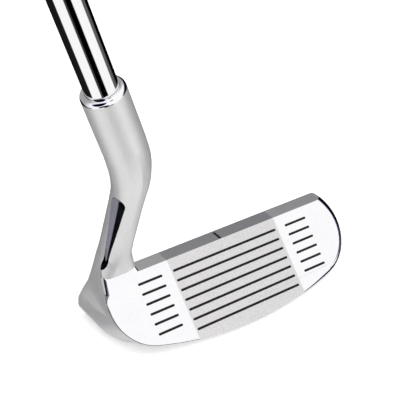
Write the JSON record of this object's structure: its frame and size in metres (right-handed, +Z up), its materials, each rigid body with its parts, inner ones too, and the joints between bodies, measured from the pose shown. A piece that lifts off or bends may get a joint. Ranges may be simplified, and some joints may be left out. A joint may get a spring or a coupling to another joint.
{
  "type": "chipping club with a putter-style blade head",
  "caption": "Steel chipping club with a lofted blade putter head, swan-neck hosel, stepped chrome shaft and rubber grip.",
  "frame": {"origin": "on the ground, on the flat of the sole, under the middle of the face and in the plane of the shaft", "axes": "+X from heel to toe along the score lines, +Y away from the face towards the back of the head, +Z up; the shaft leans towards -X at its lie angle"},
  "size_m": [0.3785, 0.0364, 0.839],
  "materials": {
    "head_steel": "satin neck and middle, mirror polish at heel and toe",
    "line_paint": "matt black paint in the score lines",
    "mark_paint": "matt black paint in the alignment mark",
    "adhesive": "cured epoxy",
    "weight_brass": "turned",
    "shaft_chrome": "mirror chrome plating",
    "tape_paper": "creped paper tape",
    "grip_rubber": "matt moulded rubber",
    "cap_rubber": "matt moulded rubber"
  },
  "bodies": {
    "root": {"head": "head_steel", "long_line_paint": "line_paint", "heel_line_paint": "line_paint", "toe_line_paint": "line_paint", "mark_paint": "mark_paint", "adhesive_bond": "adhesive", "tip_weight": "weight_brass", "shaft": "shaft_chrome", "grip_tape": "tape_paper", "grip_sleeve": "grip_rubber", "grip_cap": "cap_rubber"}
  },
  "joints": []
}
